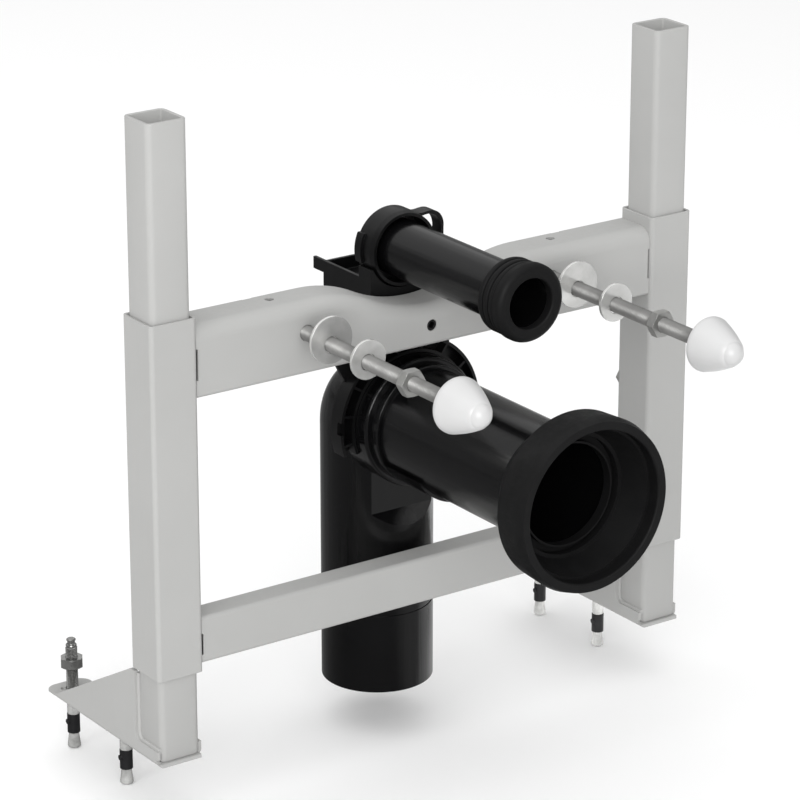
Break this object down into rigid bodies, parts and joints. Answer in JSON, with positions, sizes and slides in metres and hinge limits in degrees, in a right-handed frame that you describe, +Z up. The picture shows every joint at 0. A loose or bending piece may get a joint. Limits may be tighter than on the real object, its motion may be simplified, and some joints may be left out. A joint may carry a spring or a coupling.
{
  "type": "wall hung toilet frame",
  "caption": "Low steel frame for a wall hung toilet pan: floor posts on anchored feet carry a sliding frame with pan studs, flush pipe with seal, waste bend and pan connector.",
  "frame": {"origin": "on the underside of the left foot, under the axis of the left post", "axes": "+X along the rails towards the right post, +Y towards the wall behind, +Z up; the pan comes on from -Y"},
  "size_m": [0.5062, 0.4013, 0.5525],
  "materials": {
    "frame_paint": "light grey satin powder coat",
    "zinc": "zinc plated",
    "clip_black": "dark spring steel",
    "black_plastic": "glossy black polyethylene",
    "seal_rubber": "matte black rubber",
    "white_plastic": "white, soft gloss"
  },
  "bodies": {
    "legs": {"left_post": "frame_paint", "left_foot": "frame_paint", "left_front_anchor_stud": "zinc", "left_front_anchor_clip": "clip_black", "left_front_anchor_nut": "zinc", "left_rear_anchor_stud": "zinc", "left_rear_anchor_clip": "clip_black", "left_rear_anchor_nut": "zinc", "right_post": "frame_paint", "right_foot": "frame_paint", "right_front_anchor_stud": "zinc", "right_front_anchor_clip": "clip_black", "right_front_anchor_nut": "zinc", "right_rear_anchor_stud": "zinc", "right_rear_anchor_clip": "clip_black", "right_rear_anchor_nut": "zinc"},
    "carrier": {"left_sleeve": "frame_paint", "left_clamp_bolt": "zinc", "left_pan_stud": "zinc", "left_seat_washer": "zinc", "left_pan_washer": "zinc", "left_pan_nut": "zinc", "left_cap": "white_plastic", "right_sleeve": "frame_paint", "right_clamp_bolt": "zinc", "right_pan_stud": "zinc", "right_seat_washer": "zinc", "right_pan_washer": "zinc", "right_pan_nut": "zinc", "right_cap": "white_plastic", "upper_rail": "frame_paint", "lower_rail": "frame_paint", "rail_insert": "black_plastic", "flush_pipe": "black_plastic", "flush_seal": "seal_rubber", "flush_holder": "black_plastic", "flush_clip": "black_plastic", "waste_bend": "black_plastic", "waste_pipe": "black_plastic", "waste_seal": "seal_rubber", "bend_holder": "black_plastic"}
  },
  "joints": [
    {"name": "height_slide", "type": "slide", "parent": "legs", "child": "carrier", "axis": [0, 0, 1], "range_m": [0, 0.14]}
  ]
}
